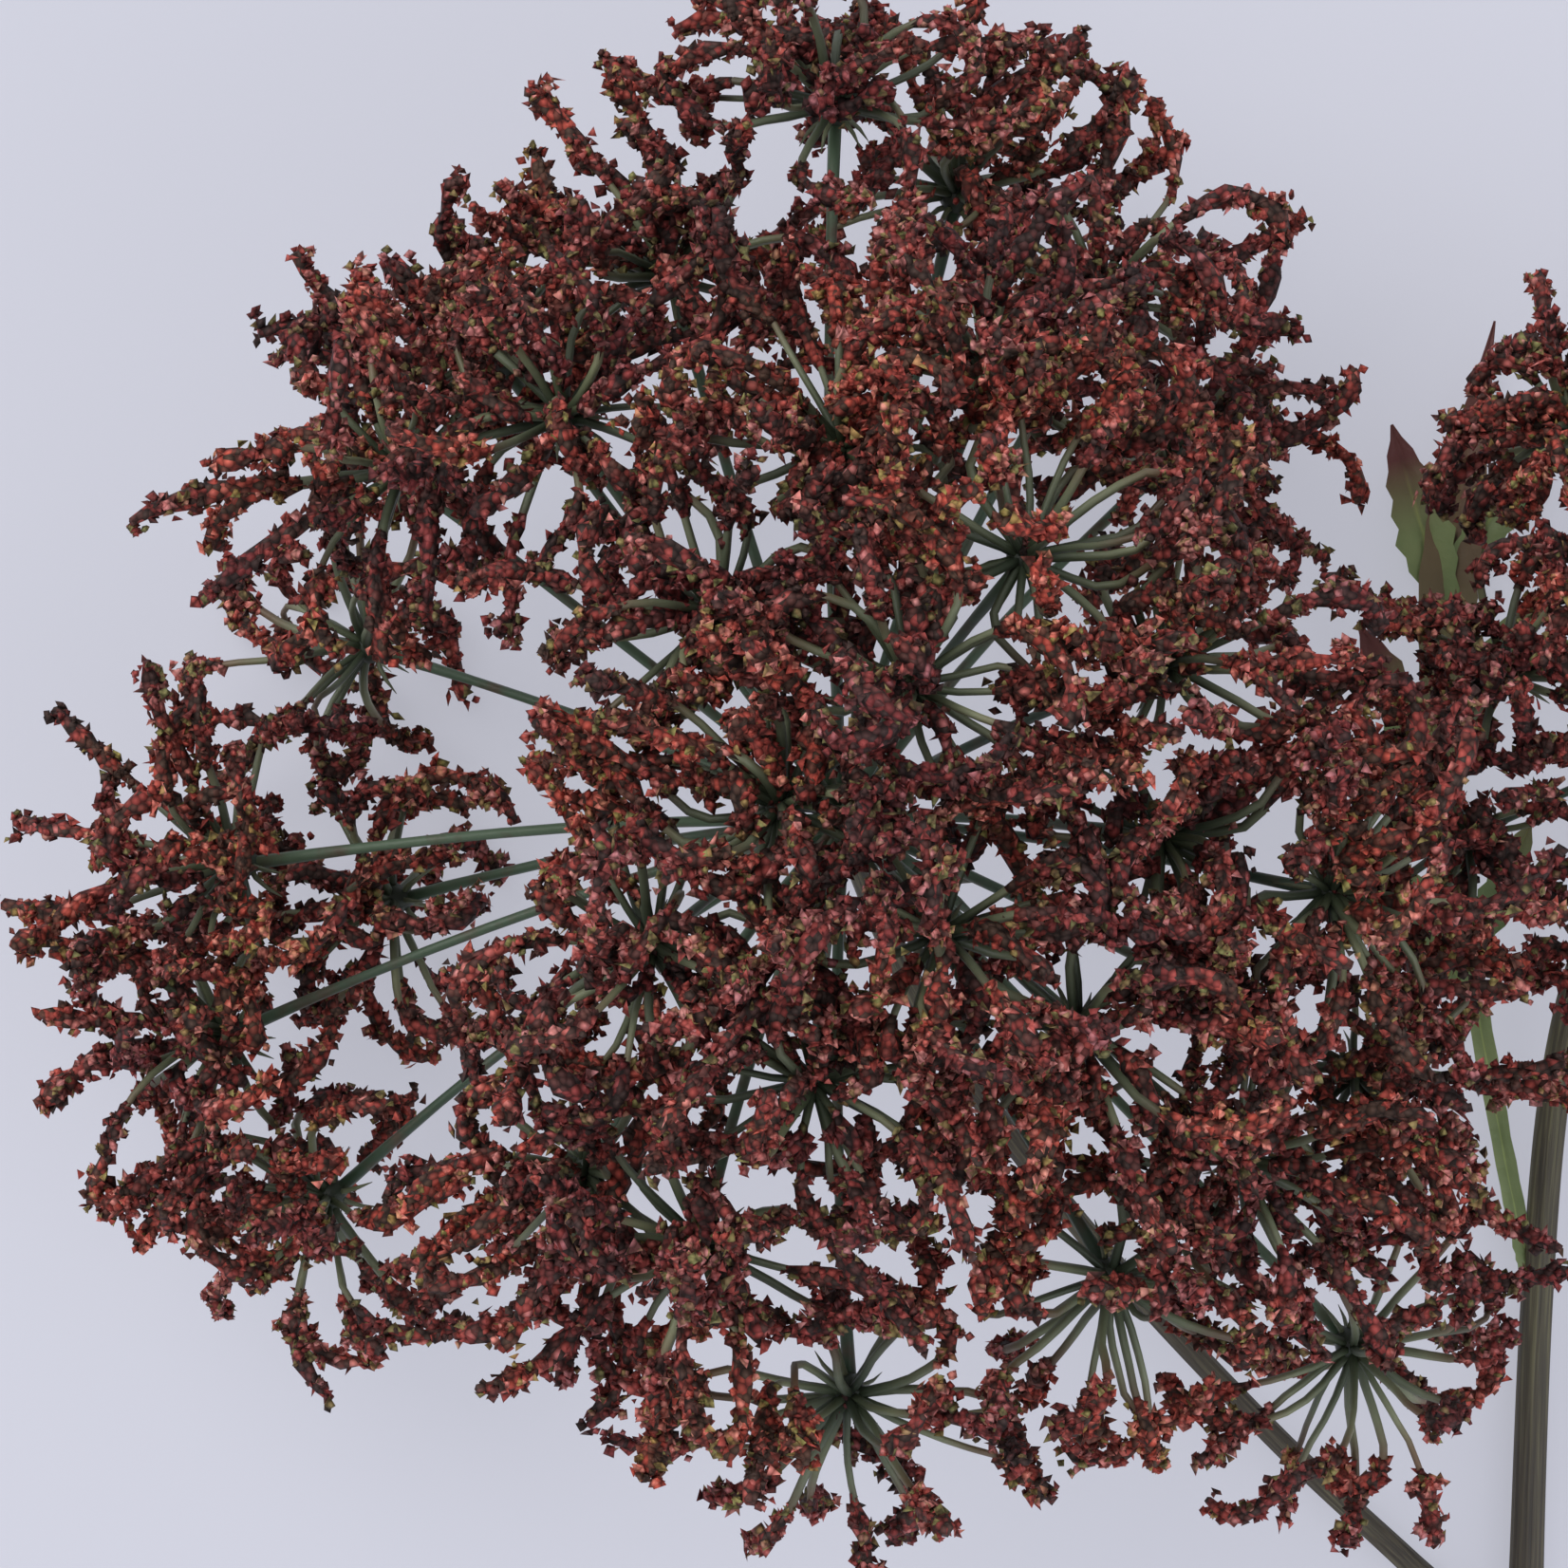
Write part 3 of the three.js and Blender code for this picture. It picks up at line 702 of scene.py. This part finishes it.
def ramp(tree, value, stops):
    """A colour ramp with the given positions and colours."""
    node = tree.nodes.new("ShaderNodeValToRGB")
    while len(node.color_ramp.elements) < len(stops):
        node.color_ramp.elements.new(0.5)
    for element, (position, colour) in zip(node.color_ramp.elements, stops):
        element.position = position
        element.color = (*colour, 1)
    tree.links.new(value, node.inputs["Fac"])
    return node.outputs["Color"]


def mix(tree, share, first, second, blend="MIX"):
    """Mixes two colours. share is a number or another node's value."""
    node = tree.nodes.new("ShaderNodeMix")
    node.data_type = "RGBA"
    node.blend_type = blend
    if isinstance(share, float):
        node.inputs["Factor"].default_value = share
    else:
        tree.links.new(share, node.inputs["Factor"])
    for socket, colour in ((node.inputs[6], first), (node.inputs[7], second)):
        if isinstance(colour, tuple):
            socket.default_value = (*colour, 1)
        else:
            tree.links.new(colour, socket)
    return node.outputs[2]


def bump(tree, shader, height, strength, distance):
    """Puts a fine relief on the shader's normal."""
    node = tree.nodes.new("ShaderNodeBump")
    node.inputs["Strength"].default_value = strength
    node.inputs["Distance"].default_value = distance
    tree.links.new(height, node.inputs["Height"])
    tree.links.new(node.outputs["Normal"], shader.inputs["Normal"])


def vary_roughness(tree, shader, value, low, high):
    """Roughness that follows a value between two limits."""
    node = tree.nodes.new("ShaderNodeMapRange")
    node.inputs["To Min"].default_value = low
    node.inputs["To Max"].default_value = high
    tree.links.new(value, node.inputs["Value"])
    tree.links.new(node.outputs["Result"], shader.inputs["Roughness"])


def small_cells(tree):
    """Cells the size of one tiny flower: a value for each cell, and the distance from its middle."""
    where = tree.nodes.new("ShaderNodeTexCoord")
    cells = tree.nodes.new("ShaderNodeTexVoronoi")
    cells.inputs["Scale"].default_value = 1500
    tree.links.new(where.outputs["Object"], cells.inputs["Vector"])
    grey = tree.nodes.new("ShaderNodeSeparateColor")
    tree.links.new(cells.outputs["Color"], grey.inputs["Color"])
    return grey.outputs["Red"], cells.outputs["Distance"]


def calculate(tree, way, first, second):
    """Arithmetic on two values, each a number or another node's value."""
    node = tree.nodes.new("ShaderNodeMath")
    node.operation = way
    for socket, value in zip(node.inputs, (first, second)):
        if isinstance(value, float):
            socket.default_value = value
        else:
            tree.links.new(value, socket)
    return node.outputs["Value"]


def speckled(tree, cell):
    """Each grain's own tint, broken up by small cells, and far more so on the core."""
    spread = tree.nodes.new("ShaderNodeMapRange")
    spread.inputs["From Min"].default_value = 1.0
    spread.inputs["From Max"].default_value = CORE_MARK
    spread.inputs["To Min"].default_value = 0.15
    spread.inputs["To Max"].default_value = 0.9
    tree.links.new(attribute(tree, "along"), spread.inputs["Value"])
    shift = calculate(tree, "MULTIPLY", calculate(tree, "SUBTRACT", cell, 0.5), spread.outputs["Result"])
    return calculate(tree, "ADD", attribute(tree, "tint"), shift)


def crust_material():
    """The dried flowers: wine and brick red, some dusty pink and olive, with painted shade in the gaps
    between grains.
    """
    material, tree, shader = new_material("dried_flowers", 0.8)
    shader.inputs["Specular IOR Level"].default_value = 0.3
    cell, off_middle = small_cells(tree)
    colour = ramp(tree, speckled(tree, cell), [
        (0.0, (0.066, 0.044, 0.034)),
        (0.2, (0.126, 0.052, 0.041)),
        (0.42, (0.265, 0.051, 0.044)),
        (0.62, (0.460, 0.098, 0.076)),
        (0.8, (0.720, 0.320, 0.285)),
        (0.87, (0.330, 0.240, 0.095)),
        (1.0, (0.240, 0.260, 0.090)),
    ])
    patches = ramp(tree, noise(tree, 75, 3), [
        (0.36, (0.70, 0.60, 0.72)),
        (0.5, (0.98, 0.90, 0.94)),
        (0.64, (1.28, 1.04, 0.88)),
    ])
    colour = mix(tree, 1.0, colour, patches, "MULTIPLY")
    # Painted shade: the colour darkens towards each cell's edge, for the shade in the gaps between grains,
    # and is a little lighter at each cell's middle.
    painted_cell_shade = ramp(tree, off_middle, [
        (0.2, (1.15, 1.15, 1.15)),
        (0.5, (0.72, 0.68, 0.66)),
        (0.72, (0.25, 0.22, 0.2)),
    ])
    colour = mix(tree, 1.0, colour, painted_cell_shade, "MULTIPLY")
    tree.links.new(colour, shader.inputs["Base Color"])
    vary_roughness(tree, shader, noise(tree, 900), 0.6, 0.95)
    bump(tree, shader, calculate(tree, "SUBTRACT", 1.0, off_middle), 1.0, 0.0004)
    return material


def stalk_material():
    """The flower stalks and hubs: dull green, darker at the hub and reddish under the crust."""
    material, tree, shader = new_material("green_stalks", 0.5)
    length = ramp(tree, attribute(tree, "along"), [
        (0.0, (0.038, 0.052, 0.036)),
        (0.15, (0.080, 0.098, 0.066)),
        (0.38, (0.200, 0.212, 0.150)),
        (0.55, (0.150, 0.095, 0.065)),
        (1.0, (0.110, 0.030, 0.026)),
    ])
    shade = ramp(tree, attribute(tree, "tint"), [(0.0, (0.6, 0.66, 0.62)), (1.0, (1.3, 1.28, 1.1))])
    colour = mix(tree, 1.0, length, shade, "MULTIPLY")
    colour = mix(tree, noise(tree, 250), colour, (0.6, 0.65, 0.5), "MULTIPLY")
    tree.links.new(colour, shader.inputs["Base Color"])
    vary_roughness(tree, shader, noise(tree, 600), 0.35, 0.65)
    bump(tree, shader, noise(tree, 2600), 0.35, 0.0001)
    return material


def ray_material():
    """The rays, knots and bracts: grey green with brown flecks."""
    material, tree, shader = new_material("green_rays", 0.5)
    shade = ramp(tree, attribute(tree, "tint"), [
        (0.0, (0.040, 0.072, 0.042)),
        (1.0, (0.080, 0.125, 0.072)),
    ])
    flecks = ramp(tree, noise(tree, 320), [(0.5, (0.0, 0.0, 0.0)), (0.72, (1.0, 1.0, 1.0))])
    colour = mix(tree, flecks, shade, (0.085, 0.055, 0.035))
    tree.links.new(colour, shader.inputs["Base Color"])
    vary_roughness(tree, shader, noise(tree, 500), 0.38, 0.65)
    bump(tree, shader, noise(tree, 2200), 0.35, 0.00012)
    return material


def streaks(tree, around, along):
    """Noise drawn out along a stem, from its own round and long values."""
    place = tree.nodes.new("ShaderNodeCombineXYZ")
    stretch = tree.nodes.new("ShaderNodeVectorMath")
    stretch.operation = "MULTIPLY"
    stretch.inputs[1].default_value = (28.0, 22.0, 1.0)
    texture = tree.nodes.new("ShaderNodeTexNoise")
    texture.inputs["Scale"].default_value = 1.0
    texture.inputs["Detail"].default_value = 5.0
    tree.links.new(attribute(tree, around), place.inputs["X"])
    tree.links.new(attribute(tree, along), place.inputs["Y"])
    tree.links.new(place.outputs["Vector"], stretch.inputs[0])
    tree.links.new(stretch.outputs["Vector"], texture.inputs["Vector"])
    return texture.outputs["Fac"]


def stem_material():
    """The dry stem: olive brown with paler streaks along it."""
    material, tree, shader = new_material("dry_stem", 0.55)
    fibres = streaks(tree, "tint", "along")
    colour = ramp(tree, fibres, [
        (0.3, (0.030, 0.024, 0.017)),
        (0.5, (0.070, 0.058, 0.038)),
        (0.7, (0.150, 0.135, 0.085)),
    ])
    blotches = ramp(tree, noise(tree, 35), [(0.42, (0.75, 0.72, 0.7)), (0.62, (1.15, 1.2, 0.95))])
    tree.links.new(mix(tree, 1.0, colour, blotches, "MULTIPLY"), shader.inputs["Base Color"])
    vary_roughness(tree, shader, fibres, 0.4, 0.75)
    bump(tree, shader, fibres, 0.6, 0.0003)
    return material


def pith_material():
    """The pale pith in the cut end of the stem."""
    material, tree, shader = new_material("pith", 0.95)
    colour = ramp(tree, noise(tree, 1400), [(0.35, (0.30, 0.23, 0.14)), (0.65, (0.58, 0.50, 0.36))])
    tree.links.new(colour, shader.inputs["Base Color"])
    bump(tree, shader, noise(tree, 2200), 0.8, 0.0003)
    return material


def leaf_material():
    """The leaf: yellow green with a paler rib, and dark red towards the lobe tips."""
    material, tree, shader = new_material("dry_leaf", 0.6)
    green = ramp(tree, noise(tree, 90), [(0.35, (0.115, 0.170, 0.060)), (0.65, (0.235, 0.290, 0.115))])
    rib = ramp(tree, attribute(tree, "along"), [
        (0.0, (1.5, 1.45, 1.2)),
        (0.12, (0.9, 0.9, 0.9)),
        (1.0, (1, 1, 1)),
    ])
    green = mix(tree, 1.0, green, rib, "MULTIPLY")
    redness = ramp(tree, attribute(tree, "tint"), [(0.3, (0, 0, 0)), (0.75, (1, 1, 1))])
    tree.links.new(mix(tree, redness, green, (0.115, 0.030, 0.026)), shader.inputs["Base Color"])
    vary_roughness(tree, shader, noise(tree, 300), 0.45, 0.75)
    bump(tree, shader, noise(tree, 700), 0.5, 0.0004)
    return material


def table_material():
    """A plain pale table, faintly cool, with a very soft unevenness. It is lit from within, so that the
    plant's shadow on it stays as faint as on the photo's far backdrop."""
    material, tree, shader = new_material("pale_table", 0.9)
    colour = ramp(tree, noise(tree, 2.5, 1), [(0.3, (0.215, 0.218, 0.248)), (0.7, (0.230, 0.233, 0.262))])
    tree.links.new(colour, shader.inputs["Base Color"])
    bump(tree, shader, noise(tree, 900), 0.05, 0.0002)
    # Painted light: the table glows in its own colour. This fills in the plant's shadow on it and lights the
    # plant a little from below, though it is no lamp.
    tree.links.new(colour, shader.inputs["Emission Color"])
    shader.inputs["Emission Strength"].default_value = 1.8
    return material


def in_frame(point):
    """A point of the plant's layout as metres in the frame."""
    return Vector([(a - b) / 1000 for a, b in zip(point, MIDDLE)])


def set_table():
    """The table that the plant lies on."""
    mesh = bpy.data.meshes.new("table")
    mesh.from_pydata([(-3, -3, 0), (3, -3, 0), (3, 3, 0), (-3, 3, 0)], [], [(0, 1, 2, 3)])
    mesh.materials.append(table_material())
    table = bpy.data.objects.new("table", mesh)
    bpy.context.scene.collection.objects.link(table)


def set_camera():
    """The camera looks straight down on the heads."""
    data = bpy.data.cameras.new("camera")
    data.sensor_width = 36
    data.lens = 18 / math.tan(HALF_FIELD)
    data.clip_start = 0.01
    camera = bpy.data.objects.new("camera", data)
    camera.location = in_frame(CAMERA_AT)
    bpy.context.scene.collection.objects.link(camera)
    bpy.context.scene.camera = camera


def add_light(name, place, power, size, colour):
    """A large soft lamp that faces the heads."""
    data = bpy.data.lights.new(name, "AREA")
    data.energy = power
    data.size = size
    data.color = colour
    lamp = bpy.data.objects.new(name, data)
    lamp.location = place
    aim = in_frame((MAIN_CENTRE.x, MAIN_CENTRE.y, 30)) - lamp.location
    lamp.rotation_euler = aim.to_track_quat("-Z", "Y").to_euler()
    bpy.context.scene.collection.objects.link(lamp)


def set_light():
    """Soft studio light from above, a little stronger from the upper left."""
    world = bpy.data.worlds.new("studio")
    world.use_nodes = True
    world.node_tree.nodes["Background"].inputs["Color"].default_value = (0.90, 0.92, 1.0, 1)
    world.node_tree.nodes["Background"].inputs["Strength"].default_value = 0.72
    bpy.context.scene.world = world
    add_light("key", Vector((-0.7, 0.7, 1.1)), 11, 1.0, (1.0, 0.98, 0.95))
    add_light("fill", Vector((0.9, -0.5, 0.9)), 6, 1.2, (0.92, 0.95, 1.0))


def grow_plant():
    """Every piece of the plant."""
    main = head_rays(MAIN_RAYS, MAIN_CENTRE, MAIN_FACING)
    second = head_rays(SECOND_RAYS, SECOND_CENTRE, SECOND_FACING)
    rays = main + second
    grow_stem([stem_material(), pith_material()])
    green = [ray_material()]
    grow_rays("rays_main", main, BRANCH_LINE, MAIN_CENTRE, MAIN_FACING, 5, 15, green)
    grow_rays("rays_second", second, STEM_LINE, SECOND_CENTRE, SECOND_FACING, 4, 10, green)
    grow_leaf([leaf_material()])
    flowers = [stalk_material(), crust_material()]
    for umbellet in umbellets(rays, len(main), obstacles(rays)):
        grow_umbellet(umbellet, flowers)


bpy.context.scene.view_settings.view_transform = "Standard"
grow_plant()
set_table()
set_camera()
set_light()
